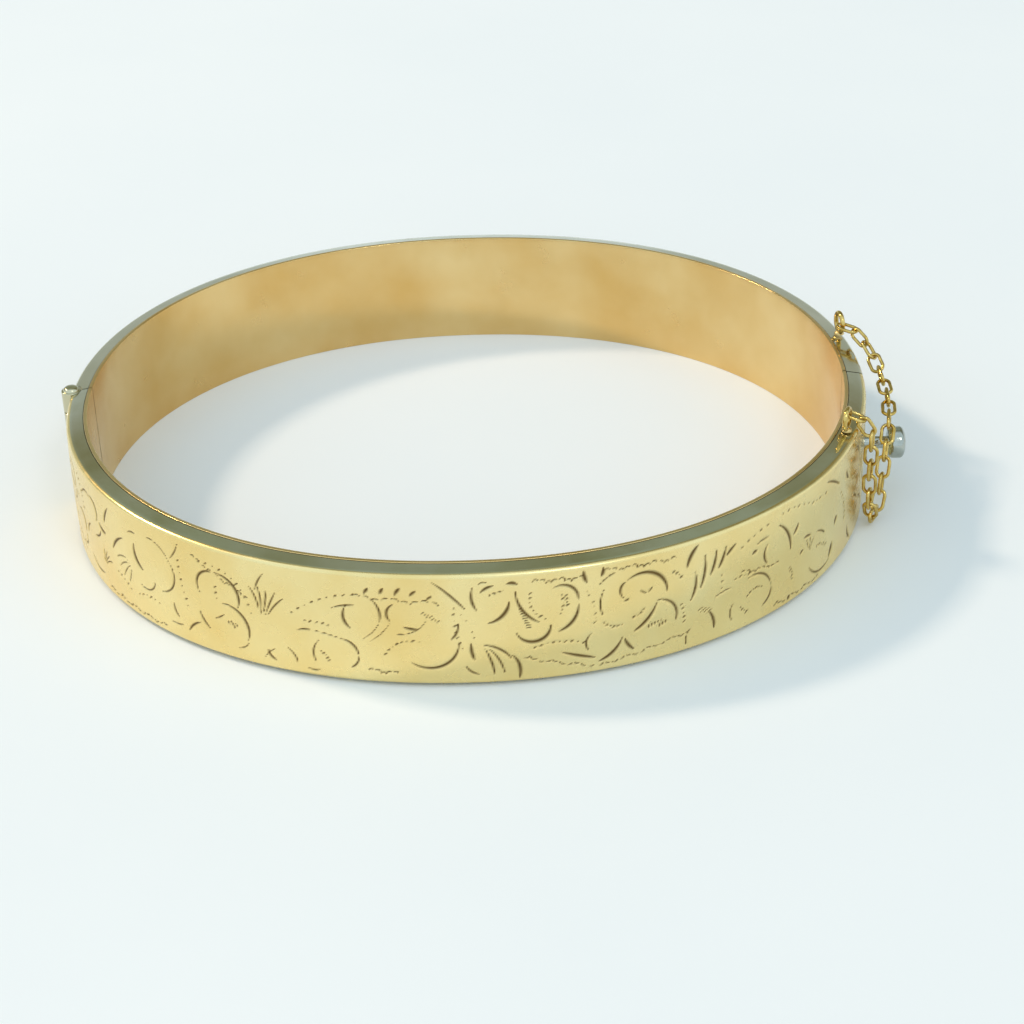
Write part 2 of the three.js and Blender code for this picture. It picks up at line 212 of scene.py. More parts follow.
def mixed(tree, amount, first, second):
    """A colour between two others, which may be colours or sockets."""
    node = add(tree, "ShaderNodeMix", data_type="RGBA")
    for socket, value in ((node.inputs[0], amount), (node.inputs[6], first), (node.inputs[7], second)):
        if isinstance(value, bpy.types.NodeSocket):
            tree.links.new(value, socket)
        else:
            socket.default_value = value
    return node.outputs[2]


def engraved_gold():
    """Rolled gold, bright-cut: pale gold, darkened where `cut` is deep, and satin where `face` is 1."""
    material, tree, shader, place = new_material("rolled_gold_bright_cut")
    cut = add(tree, "ShaderNodeAttribute", attribute_name="cut").outputs["Fac"]
    face = add(tree, "ShaderNodeAttribute", attribute_name="face").outputs["Fac"]
    gold = mixed(tree, blotches(tree, place, 7 * MM, 0.0, 1.0), linear(0xF6E2A4), linear(0xEFD28A))
    rim = mixed(tree, blotches(tree, place, 5 * MM, 0.0, 1.0), linear(0xDCDAC6), linear(0xC8C5A2))
    skin = mixed(tree, face, rim, gold)
    dirt = add(tree, "ShaderNodeMapRange", {
        "Value": cut, "From Min": 0.05, "From Max": 0.8, "To Min": 0.0, "To Max": 0.92}).outputs["Result"]
    tree.links.new(mixed(tree, dirt, skin, linear(0x5A3E1A)), shader.inputs["Base Color"])
    polish = add(tree, "ShaderNodeMapRange", {
        "Value": face, "To Min": 0.09, "To Max": 0.24}).outputs["Result"]
    worn = add(tree, "ShaderNodeMath", {
        0: polish, 1: blotches(tree, place, 1.5 * MM, -0.02, 0.06)}, operation="ADD").outputs[0]
    rough = add(tree, "ShaderNodeMath", {0: dirt, 1: 0.3, 2: worn}, operation="MULTIPLY_ADD").outputs[0]
    tree.links.new(rough, shader.inputs["Roughness"])
    tree.links.new(scratches(tree, place, 0.25 * MM, 0.25), shader.inputs["Normal"])
    return material


gold_engraved = engraved_gold()
print("finish", gold_engraved.name)

# %% [markdown]
# ## Gold, polished and satin
# The back half is rolled gold too, plain and polished, and as pale as the rims. The lining inside is
# satin, so its reflections are soft. Its gold is painted deeper and more orange as a painted reflection
# of the gold walls that face each other inside the band. The rings and links are yellow gold wire,
# mottled with painted shade for the dark crevices between links. The thumb-piece has lost its gold to
# years of pressing and shows the silver-grey metal below.

# %% Finishes: polished gold, satin lining, solder, spring, wire and bare metal
def plain_metal(name, light, dark, roughness, patch, scratch, strength):
    """A metal whose colour wanders between two shades over patches, with a spread of roughness."""
    material, tree, shader, place = new_material(name)
    colour = mixed(tree, blotches(tree, place, patch, 0.0, 1.0), linear(light), linear(dark))
    tree.links.new(colour, shader.inputs["Base Color"])
    tree.links.new(
        blotches(tree, place, patch / 3, roughness[0], roughness[1]), shader.inputs["Roughness"])
    tree.links.new(scratches(tree, place, scratch, strength), shader.inputs["Normal"])
    return material


gold_polished = plain_metal(
    "rolled_gold_polished", 0xDDD6BC, 0xC9C3A4, (0.06, 0.17), 6 * MM, 0.25 * MM, 0.2)
# The lining's deeper, more orange gold is painted reflection: the glow of gold walls facing each other
# inside the band.
lining_gold_painted_reflection = plain_metal(
    "satin_gold_painted_reflection", 0xEBCF94, 0xDBB36C, (0.17, 0.28), 9 * MM, 0.18 * MM, 0.45)
gold_solder = plain_metal(
    "gold_solder_brushed", 0xE3C88C, 0xD2B473, (0.2, 0.4), 1.5 * MM, 0.12 * MM, 0.6)
gold_spring = plain_metal(
    "gold_strip_hard_rolled", 0xE6CB88, 0xD9BC78, (0.15, 0.3), 2 * MM, 0.1 * MM, 0.4)
# The wire's darker shade, spread in small random patches, is painted shade standing in for the dark
# crevices between links.
wire_gold_painted_shade = plain_metal(
    "yellow_gold_wire", 0xE3C67A, 0xB99A4C, (0.06, 0.2), 0.6 * MM, 0.1 * MM, 0.4)
worn_thumb = plain_metal(
    "worn_silver_grey_metal", 0xC2C6BF, 0xA3A79C, (0.06, 0.2), 1.2 * MM, 0.12 * MM, 0.5)
print("finishes", [m.name for m in bpy.data.materials])

# %% [markdown]
# ## The channel section
# Each half's outer shell is a channel pressed from one sheet: two rims and an outer face, with
# rolled corners. The rims slope down outwards. The section is a closed line of insets and heights:
# up the outside in three curves, then back down the inside one wall's thickness away.

# %% Section of the outer shell
BAND_HEIGHT = 9.7 * MM
BAND_THICKNESS = 1.75 * MM
RIM_DROP = 0.3 * MM
SHELL_WALL = 0.35 * MM
LINER_WALL = 0.3 * MM
CORNER_ROUND = 0.4 * MM
FACE_DOME = 0.06 * MM
SEAM = 0.05 * MM
mouth = BAND_THICKNESS - LINER_WALL - SEAM


def curve(start, pull, end, count):
    """A quadratic Bezier without its last point: (1-t)^2 start + 2t(1-t) pull + t^2 end."""
    t = np.linspace(0, 1, count, endpoint=False)[:, None]
    return (1 - t) ** 2 * np.array(start) + 2 * t * (1 - t) * np.array(pull) + t ** 2 * np.array(end)


def straight(start, end, count):
    """Evenly spaced points from start, without the last one."""
    return curve(start, (np.array(start) + np.array(end)) / 2, end, count)


def channel(face_points, corner_points, rim_points):
    """The closed section as (inset, height) rows, and the first and last row of the outer face."""
    drop = lambda inset: RIM_DROP * (1 - inset / BAND_THICKNESS)
    low, high = RIM_DROP + CORNER_ROUND, BAND_HEIGHT - RIM_DROP - CORNER_ROUND
    rim_edge, inner = CORNER_ROUND, FACE_DOME + SHELL_WALL
    parts = [
        straight((mouth, drop(mouth)), (rim_edge, drop(rim_edge)), rim_points),
        curve((rim_edge, drop(rim_edge)), (0, RIM_DROP), (FACE_DOME, low), corner_points),
        curve((FACE_DOME, low), (-FACE_DOME, BAND_HEIGHT / 2), (FACE_DOME, high), face_points),
        curve((FACE_DOME, high), (0, BAND_HEIGHT - RIM_DROP),
              (rim_edge, BAND_HEIGHT - drop(rim_edge)), corner_points),
        straight((rim_edge, BAND_HEIGHT - drop(rim_edge)), (mouth, BAND_HEIGHT - drop(mouth)), rim_points),
        straight((mouth, BAND_HEIGHT - drop(mouth)), (mouth, BAND_HEIGHT - drop(mouth) - SHELL_WALL), 2),
        straight((mouth, BAND_HEIGHT - drop(mouth) - SHELL_WALL), (inner, high), 3),
        straight((inner, high), (inner, low), 4),
        straight((inner, low), (mouth, drop(mouth) + SHELL_WALL), 3),
        straight((mouth, drop(mouth) + SHELL_WALL), (mouth, drop(mouth)), 2),
    ]
    face_start = rim_points
    return np.vstack(parts), face_start, face_start + 2 * corner_points + face_points


section, face_first, face_last = channel(84, 7, 5)
print("section points", len(section), "of which on the face", face_last - face_first)

# %% [markdown]
# ## The engraver's cuts
# A graver is pushed through the metal in short arcs. Each cut starts as a hairline, swells as the
# tool leans over, and runs out again, like a comma. A cut is given here by where it starts and ends,
# how far it bows to the side, and how wide it swells, all in millimetres: the first number of each
# place is the distance along the face from the hinge, and the second is the height.

# %% One cut
LEAST_BOW = 0.02
SWELL_LATE = 1.25
SWELL_BLUNT = 0.6
HAIR = 1e-6


def comma(s, z, cut):
    """Depth 0 to 1 of one cut: 1 - distance / half width, the distance being from a circular arc."""
    s0, z0, s1, z1, bow, width = cut
    along, across = np.array([s1 - s0, z1 - z0]), np.array([z0 - z1, s1 - s0])
    chord = math.hypot(*along)
    bow = bow if abs(bow) > LEAST_BOW else LEAST_BOW
    radius = (chord ** 2 / 4 + bow ** 2) / (2 * abs(bow))
    toward = across / chord * math.copysign(1, bow)
    centre = np.array([s0 + s1, z0 + z1]) / 2 + toward * (abs(bow) - radius)
    from_centre_s, from_centre_z = s - centre[0], z - centre[1]
    lean = np.arctan2(
        from_centre_z * toward[0] - from_centre_s * toward[1],
        from_centre_s * toward[0] + from_centre_z * toward[1])
    half_turn = 2 * math.atan(2 * abs(bow) / chord)
    share = 0.5 - 0.5 * math.copysign(1, bow) * lean / half_turn
    inside = (share > 0) & (share < 1)
    swell = np.sin(np.pi * np.clip(share, 0, 1) ** SWELL_LATE) ** SWELL_BLUNT
    distance = np.abs(np.hypot(from_centre_s, from_centre_z) - radius)
    return np.where(inside, np.clip(1 - distance / (width / 2 * swell + HAIR), 0, 1), 0)


def engrave(s, z, cuts):
    """The deepest of all cuts at every grid point; each is worked out only near its own arc."""
    depth = np.zeros(s.shape)
    for cut in cuts:
        s0, z0, s1, z1, bow, width = cut
        reach = abs(bow) + width + math.hypot(s1 - s0, z1 - z0) / 2
        near = (np.abs(s - (s0 + s1) / 2) < reach) & (np.abs(z - (z0 + z1) / 2) < reach)
        if near.any():
            depth[near] = np.maximum(depth[near], comma(s[near], z[near], cut))
    return depth

# %% [markdown]
# ## Rows of small marks
# Between the big cuts an engraver fills in with rows: dots that follow a scroll, short hatching
# inside a curl, a fan of leaf strokes, and a scalloped border under the rim. Each of these is a
# short rule that lists its small cuts, so a motif takes one line.

# %% Dots, hatching, fans and scallops
def dots(s0, z0, s1, z1, bow, count, size=0.26):
    """Short marks of wavering size along a bowed line: chord + 4 t (1-t) bow, sideways."""
    t = (np.arange(count) + 0.5) / count
    chord = math.hypot(s1 - s0, z1 - z0)
    aside = 4 * t * (1 - t) * bow / chord
    s = s0 + (s1 - s0) * t - (z1 - z0) * aside
    z = z0 + (z1 - z0) * t + (s1 - s0) * aside
    half = size * (0.42 + 0.14 * np.sin(2.4 * np.arange(count)))
    return [(a - h, b - h * 0.7, a + h, b + h * 0.7, 0.03, 1.8 * h) for a, b, h in zip(s, z, half)]


def hatching(s0, z0, s1, z1, lean_s, lean_z, count):
    """Parallel hairline strokes that step from one place to another, each the same lean long."""
    t = np.linspace(0, 1, count)
    return [(s0 + (s1 - s0) * k, z0 + (z1 - z0) * k, s0 + (s1 - s0) * k + lean_s,
             z0 + (z1 - z0) * k + lean_z, 0.03, 0.13) for k in t]


def fan(s, z, first, last, count, short, long, width=0.24):
    """Leaf strokes that spread from a root: angles in degrees, each stroke starting short of it."""
    strokes = []
    for angle in np.radians(np.linspace(first, last, count)):
        c, d = math.cos(angle), math.sin(angle)
        bow = 0.12 * long * math.cos(angle + 0.3)
        strokes.append((s + c * short, z + d * short, s + c * long, z + d * long, bow, width))
    return strokes


def scallops(s0, z0, s1, z1, count, bow=0.22):
    """A border of small arcs with short gaps, wavering a little: z moves by 0.16 sin(1.9 k) mm."""
    t = np.linspace(0, 1, count + 1)
    s = s0 + (s1 - s0) * t
    z = z0 + (z1 - z0) * t + 0.16 * np.sin(1.9 * np.arange(count + 1))
    filled = 0.82
    return [(s[k], z[k], s[k] + filled * (s[k + 1] - s[k]), z[k] + filled * (z[k + 1] - z[k]), bow, 0.17)
            for k in range(count)]


# %% [markdown]
# ## The design
# The design runs from the hinge to the clasp as a wandering stem: a curl above, a curl below, with a
# leaf fan or a flower in every space between. No two repeats are quite alike, as on any hand-cut
# piece. The cuts placed one by one are listed in groups, from the hinge to the clasp. After them come the
# rows of small marks that fill the spaces.

# %% The cuts, from the hinge to the clasp
curls = [
    # Opening curl and leaf beside the hinge
    (3.2, 7.9, 5.6, 5.6, 0.9, 0.3), (5.6, 5.6, 3.6, 3.2, 0.8, 0.25), (6.2, 2.0, 8.6, 1.3, -0.4, 0.25),
    (7.2, 7.6, 9.0, 8.3, -0.5, 0.28), (9.0, 8.3, 10.6, 6.6, 0.7, 0.3), (10.6, 6.6, 9.6, 5.2, 0.5, 0.2),
    (8.1, 4.9, 10.2, 3.7, -0.5, 0.3), (11.3, 5.0, 12.7, 3.6, 0.8, 0.3),
    (12.7, 3.6, 11.6, 2.3, 0.6, 0.22), (12.6, 6.9, 14.6, 7.7, 0.4, 0.2),
    (14.6, 7.7, 15.9, 6.1, 0.8, 0.28), (13.9, 2.2, 16.3, 1.7, -0.4, 0.2),
    (14.4, 5.1, 13.6, 3.9, -0.3, 0.24), (15.2, 4.7, 16.6, 5.6, -0.3, 0.25),
    # First leaf pair
    (18.4, 8.4, 17.5, 6.7, -0.15, 0.3), (16.4, 6.3, 17.6, 5.8, -0.2, 0.38),
    (20.4, 6.7, 18.6, 5.0, -0.25, 0.32), (21.9, 7.0, 22.8, 4.9, -0.45, 0.4),
    (21.2, 7.6, 22.1, 7.8, 0.1, 0.18), (22.1, 3.6, 24.1, 4.6, -0.7, 0.18),
    (23.6, 8.1, 25.9, 6.9, 0.4, 0.12), (25.8, 7.0, 24.8, 3.95, 1.0, 0.22),
    (27.0, 8.8, 26.1, 7.3, 0.1, 0.18),
    # Curl pair under a dotted arch
    (28.9, 5.2, 30.2, 7.35, 0.85, 0.28), (30.2, 7.35, 32.2, 4.9, 0.95, 0.32),
    (30.8, 4.95, 32.8, 2.2, 1.0, 0.3), (32.9, 2.2, 31.9, 1.4, 0.2, 0.14),
    (26.1, 3.6, 26.5, 2.2, -0.25, 0.24), (28.6, 3.8, 29.5, 2.3, -0.15, 0.24),
    (28.7, 2.6, 27.3, 1.4, -0.2, 0.26), (25.5, 1.6, 26.8, 1.75, -0.1, 0.16),
    (30.0, 3.4, 30.9, 4.0, -0.05, 0.16), (34.6, 8.4, 33.8, 6.9, -0.1, 0.2),
    (34.1, 1.0, 35.1, 2.1, 0.15, 0.12), (34.5, 2.1, 35.1, 1.1, -0.25, 0.28),
    (35.9, 2.5, 36.8, 1.0, 0.25, 0.18),
    # Stem, two facing curls
    (36.9, 4.1, 38.1, 4.3, 0.08, 0.2), (38.1, 4.3, 40.3, 3.85, 0.05, 0.1),
    (40.2, 3.85, 41.5, 2.6, 0.35, 0.26), (41.5, 2.6, 40.8, 1.4, 0.25, 0.2),
    (38.6, 3.5, 38.3, 1.5, -0.35, 0.2), (39.7, 6.4, 41.5, 6.8, 0.1, 0.2),
    (40.8, 6.7, 41.1, 4.8, -0.4, 0.32), (42.6, 7.5, 43.2, 5.5, 0.3, 0.24),
    (44.4, 7.1, 44.0, 5.6, -0.45, 0.28), (43.2, 5.5, 41.9, 4.0, 0.15, 0.1),
    (44.0, 5.6, 42.4, 3.8, 0.15, 0.1), (44.8, 5.25, 46.0, 5.0, -0.08, 0.28),
    (44.2, 4.6, 46.6, 5.9, -0.5, 0.1), (45.1, 2.4, 48.8, 3.8, -1.35, 0.3),
    (48.8, 5.5, 48.2, 4.1, 0.2, 0.24), (37.5, 0.95, 38.5, 0.9, -0.1, 0.16),
    (42.2, 7.8, 42.55, 8.3, 0.05, 0.34), (43.35, 7.8, 43.6, 8.35, 0.05, 0.34),
    (44.4, 7.8, 44.8, 8.4, 0.05, 0.36), (45.4, 7.7, 45.95, 8.2, 0.05, 0.3),
    (46.6, 7.4, 47.1, 7.8, 0.05, 0.24),
    # Flower: three petals and a pod of leaves below
    (47.0, 9.0, 49.4, 6.6, 0.1, 0.26), (49.95, 8.5, 50.2, 6.5, -0.25, 0.3),
    (50.4, 7.9, 51.4, 8.5, 0.12, 0.3), (50.8, 5.4, 52.5, 7.2, -0.45, 0.38),
    (50.3, 8.5, 51.0, 8.75, 0.2, 0.14), (52.3, 8.55, 53.1, 8.5, 0.12, 0.36),
    (49.7, 3.9, 49.9, 2.3, -0.1, 0.34), (50.4, 3.6, 52.6, 2.2, 0.35, 0.24),
    (50.6, 3.4, 51.3, 0.9, 0.12, 0.24), (50.9, 3.3, 52.0, 1.1, 0.2, 0.22),
    (52.5, 2.7, 53.0, 0.5, 0.35, 0.36), (49.2, 2.0, 50.2, 1.1, -0.2, 0.24),
    # Great curl to the right of the flower
    (52.95, 8.0, 54.6, 5.2, -0.45, 0.32), (52.9, 4.6, 55.4, 4.9, -1.15, 0.38),
    (55.6, 7.9, 57.4, 6.6, 0.75, 0.3), (57.4, 6.6, 55.9, 4.25, 0.55, 0.34),
    (56.0, 2.5, 58.7, 1.55, -0.05, 0.34), (58.4, 3.7, 58.2, 2.2, -0.35, 0.22),
    (60.7, 3.0, 58.8, 1.15, 0.35, 0.36), (60.8, 2.9, 61.6, 1.6, -0.12, 0.34),
    (59.4, 7.3, 59.3, 4.9, -0.3, 0.18), (60.8, 6.2, 61.0, 7.5, 0.35, 0.26),
    (60.8, 6.0, 61.2, 6.1, -0.1, 0.2), (61.0, 7.5, 64.2, 5.9, 1.15, 0.38),
    (62.0, 6.6, 62.6, 6.2, -0.05, 0.16), (62.6, 6.2, 63.0, 6.6, -0.05, 0.16),
    (63.4, 5.3, 61.5, 3.15, 0.3, 0.36), (63.4, 5.35, 64.8, 3.1, 0.75, 0.28),
    (57.9, 9.1, 58.1, 8.0, -0.1, 0.4), (59.3, 9.1, 59.1, 8.3, 0.1, 0.36),
    # Great fan
    (65.8, 7.2, 66.8, 9.0, 0.2, 0.42), (66.5, 6.9, 66.1, 4.5, 0.25, 0.3),
    (67.35, 8.0, 66.9, 5.2, 0.2, 0.3), (68.35, 8.1, 67.8, 6.1, 0.12, 0.32),
    (69.2, 8.1, 68.5, 6.4, 0.1, 0.32), (70.2, 8.0, 69.2, 7.2, -0.05, 0.3),
    (67.6, 3.2, 68.2, 1.4, 0.2, 0.34), (68.0, 4.0, 69.9, 4.4, 0.1, 0.14),
    (65.9, 1.8, 65.8, 0.8, -0.1, 0.16),
    # Curl pair towards the clasp
    (72.0, 7.0, 73.5, 7.25, 0.12, 0.16), (71.7, 6.4, 72.2, 6.6, 0.05, 0.34),
    (73.3, 6.7, 73.3, 5.0, -0.35, 0.28), (74.5, 7.75, 75.9, 5.1, 0.4, 0.34),
    (76.85, 7.05, 76.2, 6.2, 0.1, 0.32), (77.5, 5.2, 78.5, 5.1, 0.08, 0.28),
    (71.2, 4.5, 73.7, 3.1, 0.65, 0.24), (73.7, 3.1, 72.8, 1.5, 0.4, 0.26),
    (70.0, 3.0, 69.9, 1.4, -0.3, 0.18), (77.1, 4.0, 77.5, 4.3, 0.0, 0.3),
    (78.4, 2.3, 81.7, 1.5, -0.75, 0.22), (81.5, 1.5, 82.0, 2.7, -0.1, 0.5),
    (82.3, 4.0, 82.8, 4.7, 0.0, 0.48), (80.7, 8.5, 83.1, 7.2, 0.15, 0.24),
    (79.2, 5.0, 80.6, 4.3, 0.12, 0.16), (75.8, 0.6, 76.0, 1.0, 0.0, 0.4),
    # Closing curls beside the clasp
    (84.7, 7.6, 85.2, 6.7, -0.1, 0.44), (86.4, 4.3, 87.9, 3.5, 0.2, 0.2),
    (85.3, 2.4, 86.2, 0.9, -0.2, 0.36), (86.9, 8.2, 88.7, 6.2, 0.7, 0.3),
    (88.7, 6.2, 87.4, 5.0, 0.5, 0.24), (88.2, 3.0, 90.2, 1.6, 0.6, 0.3),
    (90.3, 7.6, 91.9, 8.4, -0.4, 0.26), (91.9, 8.4, 93.5, 6.3, 0.8, 0.32),
    (93.5, 6.3, 92.3, 4.9, 0.5, 0.24), (90.6, 5.2, 91.6, 3.3, -0.5, 0.28),
    (93.0, 3.8, 94.6, 2.0, 0.6, 0.3), (94.3, 8.2, 95.6, 6.4, 0.5, 0.26),
]
fills = (
    dots(28.6, 7.9, 33.4, 4.4, 1.4, 11) + dots(30.3, 6.4, 30.4, 5.0, 0.0, 3)
    + dots(38.6, 2.6, 39.3, 1.7, 0.1, 5) + dots(36.4, 5.3, 41.7, 7.7, 0.5, 9)
    + dots(37.4, 5.0, 39.6, 4.8, 0.1, 5) + dots(48.6, 7.0, 49.2, 3.1, -0.3, 8)
    + dots(43.4, 2.6, 46.2, 3.9, 0.6, 8) + dots(21.6, 2.3, 24.6, 2.6, 0.3, 6)
    + dots(18.8, 3.2, 20.9, 2.2, 0.2, 5) + dots(26.9, 7.6, 27.6, 3.4, -0.2, 8)
    + dots(48.9, 6.4, 50.0, 3.4, 0.3, 6, 0.16) + dots(54.1, 7.9, 55.2, 5.3, -0.6, 8, 0.26)
    + dots(56.2, 7.4, 56.1, 5.6, 0.2, 6, 0.24) + dots(56.5, 7.3, 56.6, 6.2, 0.1, 4)
    + dots(58.0, 7.4, 58.6, 4.4, 0.3, 9, 0.17) + dots(54.0, 3.0, 58.0, 2.9, 0.4, 9)
    + dots(59.0, 7.6, 60.2, 8.4, 0.1, 5) + dots(59.2, 4.5, 60.8, 4.0, -0.3, 6)
    + dots(62.4, 5.0, 61.4, 4.4, 0.2, 4) + dots(64.6, 7.4, 65.4, 6.6, 0.1, 4)
    + dots(65.3, 4.6, 65.6, 2.7, 0.1, 5) + dots(70.4, 7.2, 73.6, 8.3, 0.2, 5, 0.26)
    + dots(68.8, 6.0, 68.9, 4.4, 0.0, 3, 0.26) + dots(69.9, 4.9, 71.6, 4.8, 0.1, 4)
    + dots(71.2, 2.9, 72.9, 3.2, 0.3, 6) + dots(70.6, 2.4, 71.4, 1.6, -0.1, 4)
    + dots(74.6, 8.5, 79.0, 7.6, 0.3, 7, 0.24) + dots(75.8, 3.6, 76.2, 2.2, 0.1, 5)
    + dots(79.0, 7.7, 80.9, 7.6, 0.0, 4, 0.24) + dots(79.3, 3.6, 81.0, 3.0, 0.2, 5)
    + dots(83.4, 6.4, 84.4, 3.4, 0.3, 7) + dots(4.2, 4.6, 7.2, 4.2, 0.3, 7)
    + dots(10.0, 2.4, 12.0, 1.4, 0.2, 6) + dots(11.6, 8.4, 13.0, 5.6, 0.4, 7)
    + dots(87.2, 2.0, 88.4, 7.6, -1.4, 12) + dots(91.8, 2.0, 92.8, 7.4, -0.8, 11)
    + hatching(53.1, 6.4, 53.6, 4.8, 0.4, 0.05, 9) + hatching(46.2, 6.2, 47.3, 5.5, 0.25, 0.3, 7)
    + hatching(62.7, 3.1, 64.0, 3.0, 0.15, 0.65, 7) + hatching(66.6, 3.3, 67.4, 2.9, 0.7, 0.35, 4)
    + hatching(31.2, 3.2, 31.9, 3.0, 0.15, 0.5, 5) + hatching(8.9, 6.9, 9.6, 6.3, 0.3, 0.35, 5)
    + hatching(91.9, 7.1, 92.6, 6.5, 0.3, 0.35, 5) + hatching(51.1, 7.6, 52.0, 7.9, 0.12, 0.3, 6)
    + fan(34.2, 4.2, 52, 108, 5, 0.7, 3.1) + fan(21.4, 5.0, 190, 250, 4, 0.5, 2.2, 0.18)
    + fan(5.0, 6.6, 100, 160, 4, 0.5, 1.9, 0.2) + fan(89.6, 4.4, 60, 110, 4, 0.5, 2.4, 0.22)
    + fan(78.2, 3.4, 60, 100, 3, 0.4, 1.6, 0.16) + fan(16.6, 2.6, 30, 80, 4, 0.4, 1.8, 0.18)
    + scallops(54.2, 8.5, 58.0, 8.3, 8) + scallops(59.4, 8.6, 65.0, 8.3, 11)
    + scallops(41.3, 7.5, 47.6, 7.1, 9, 0.16) + scallops(42.2, 1.2, 44.4, 1.0, 5)
    + scallops(53.4, 2.4, 58.6, 1.0, 10, -0.16) + scallops(58.8, 0.9, 66.2, 2.1, 14, -0.16)
    + scallops(28.2, 8.2, 33.2, 5.9, 10, 0.14) + scallops(70.6, 5.2, 74.6, 4.4, 8, 0.14)
    + scallops(86.2, 6.0, 89.4, 4.6, 7, 0.16) + scallops(6.8, 6.6, 11.8, 6.2, 10, 0.14)
    + scallops(17.0, 1.0, 25.0, 0.95, 15, -0.14) + scallops(74.0, 1.0, 80.0, 0.9, 11, -0.14)
)
# The cuts placed one by one are all widened by one factor, which sets how heavy the design looks.
BROADER = 1.25
cuts = [cut[:5] + (cut[5] * BROADER,) for cut in curls] + fills
print("cuts:", len(curls), "by hand and", len(fills), "in rows")

# %% [markdown]
# ## The engraved shell
# The section is carried round the front half, about a tenth of a millimetre between grid lines, so
# that the cuts are real grooves and catch the light from any side. Where the graver went, the face
# is moved inwards by the cut's depth. The round pocket for the hinge knuckles and the open notch for
# the thumb-piece's stem are then cut away, as on the solid below.

# %% Build both shells
CUT_DEPTH = 0.09 * MM
GRID_COLUMNS = 800
BARREL_RADIUS = 0.8 * MM
RUNNING_GAP = 0.08 * MM
THUMB_PLACE = 3.2 * MM
THUMB_STEM_RADIUS = 0.5 * MM


def swept(section, start, end, columns, depth_of=None):
    """The section carried round the oval: points oval(angle, inset + cut depth) at each height."""
    angle, length = even_angles(start, end, columns)
    inset = np.broadcast_to(section[:, 0], (columns, len(section)))
    height = np.broadcast_to(section[:, 1], (columns, len(section)))
    if depth_of is not None:
        inset = inset + depth_of(np.linspace(0, length, columns))
    x, y = oval(np.broadcast_to(angle[:, None], inset.shape), inset)
    return np.stack([x, y, height], axis=-1)


def cut_away(piece, cutters):
    """Booleans applied at once: the piece minus each closed cutter, which is then removed."""
    for cutter in cutters:
        modifier = piece.modifiers.new("cut", "BOOLEAN")
        modifier.operation, modifier.object, modifier.solver = "DIFFERENCE", cutter, "EXACT"
    depsgraph = bpy.context.evaluated_depsgraph_get()
    mesh = bpy.data.meshes.new_from_object(piece.evaluated_get(depsgraph))
    piece.modifiers.clear()
    piece.data = mesh
    for cutter in cutters:
        bpy.data.objects.remove(cutter)


def cutter_piece(name, points, faces):
    """A closed cutter, not part of the object."""
    mesh = bpy.data.meshes.new(name)
    mesh.from_pydata(points.tolist(), [], faces)
    if signed_volume(mesh) < 0:
        mesh.flip_normals()
    cutter = bpy.data.objects.new(name, mesh)
    bpy.context.scene.collection.objects.link(cutter)
    return cutter


def barrel_pocket():
    """A tall cylinder about the hinge axis, a running gap wider than the knuckles."""
    turn = np.linspace(0, 2 * np.pi, 48, endpoint=False)
    radius = BARREL_RADIUS + RUNNING_GAP
    ring = np.stack([oval_middle_x - HALF_WIDTH + radius * np.cos(turn), radius * np.sin(turn)], -1)
    low, high = np.full((48, 1), -BAND_HEIGHT), np.full((48, 1), 2 * BAND_HEIGHT)
    points = np.vstack([np.hstack([ring, low]), np.hstack([ring, high])])
    return cutter_piece("pocket", points, capped_tube(2, 48))


def thumb_notch():
    """A block through the outer face, open at the clasp end, round the stem's height."""
    half = THUMB_STEM_RADIUS + 2 * RUNNING_GAP
    right = oval_middle_x + HALF_WIDTH
    x = np.array([right - 0.8 * MM, right + MM])
    y = np.array([-THUMB_PLACE - half, MM])
    z = BAND_HEIGHT / 2 + np.array([-half, half])
    ring = [(x[0], y[0]), (x[1], y[0]), (x[1], y[1]), (x[0], y[1])]
    points = np.array([(a, b, z[0]) for a, b in ring] + [(a, b, z[1]) for a, b in ring])
    return cutter_piece("notch", points, capped_tube(2, 4))


def point_attribute(mesh, name, values):
    """One number for every point of a mesh, which a finish can read by its name."""
    mesh.attributes.new(name, "FLOAT", "POINT").data.foreach_set("value", values.ravel())


def build_shell(name, side, start, section, face_rows, columns, material, cuts, cutters):
    """One half's outer channel with its cuts, its attributes and its openings."""
    on_face = np.zeros(len(section))
    on_face[face_rows] = 1.0
    depth = np.zeros((columns, len(section)))

    def depth_of(along):
        s, z = np.meshgrid(along / MM, section[:, 1] / MM, indexing="ij")
        depth[:, face_rows] = engrave(s[:, face_rows], z[:, face_rows], cuts)
        return depth * CUT_DEPTH

    trim = angle_at(JOINT_GAP / 2)
    points = swept(section, start + trim, start + math.pi - trim, columns, depth_of)
    piece = make_piece(name, points, capped_tube(columns, len(section)), side + "_half", material)
    point_attribute(piece.data, "cut", depth)
    point_attribute(piece.data, "face", np.broadcast_to(on_face, depth.shape).copy())
    cut_away(piece, cutters)
    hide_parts(side + "_outer_shell")
    print(name, len(piece.data.polygons), "faces")


build_shell(
    "engraved_front_shell", "front", math.pi, section, slice(face_first, face_last), GRID_COLUMNS,
    gold_engraved, cuts, [barrel_pocket(), thumb_notch()])
plain_section = channel(16, 7, 4)[0]
build_shell(
    "polished_back_shell", "back", 0.0, plain_section, slice(0, 0), 360,
    gold_polished, [], [barrel_pocket()])

# %% [markdown]
# ## The lining
# Inside each half a flat strip closes the channel. It stands a little prouder than the rims, so its
# two bright edges show as a thin line all the way round. Its edges are rounded off here by a few
# hundredths of a millimetre, as a polishing mop leaves them.

